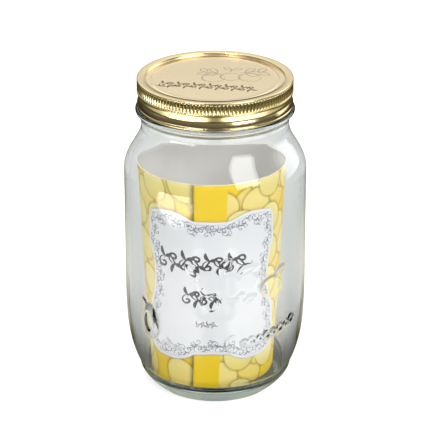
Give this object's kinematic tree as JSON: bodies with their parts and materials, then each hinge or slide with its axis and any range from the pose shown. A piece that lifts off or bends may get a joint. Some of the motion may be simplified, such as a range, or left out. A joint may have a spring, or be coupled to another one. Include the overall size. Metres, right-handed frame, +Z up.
{
  "type": "storage jar",
  "caption": "Wide-mouth glass storage jar with a ribbed gold screw band and lid disc, holding a rolled yellow printed card sleeve with an ornate white label.",
  "frame": {"origin": "on the jar's axis, in the plane that it stands on", "axes": "+Z up along the jar's axis; the label faces -Y"},
  "size_m": [0.1056, 0.1056, 0.19],
  "materials": {
    "clear_glass": "clear, smooth",
    "gold_band": "bright gold lacquer on tinplate",
    "gold_disc": "satin pale gold lacquer, printed",
    "sealing_compound": "matt",
    "yellow_card": "printed outside, plain grey-white inside",
    "label_card": "matt, printed border"
  },
  "bodies": {
    "jar": {"glass_jar": "clear_glass", "insert_sleeve": "yellow_card", "label_card": "label_card"},
    "disc": {"lid_disc": "gold_disc", "sealing_ring": "sealing_compound"},
    "band": {"screw_band": "gold_band"}
  },
  "joints": [
    {"name": "lid_lift", "type": "slide", "parent": "jar", "child": "disc", "axis": [0, 0, 1], "range_m": [0, 0.0211]},
    {"name": "band_turn", "type": "hinge", "parent": "disc", "child": "band", "pos_m": [0, 0, 0.18], "axis": [0, 0, 1], "range_deg": [0, 1260]}
  ],
  "couplings": [
    {"joint": "lid_lift", "follows": "band_turn", "m_per_rad": 0.00095493}
  ]
}
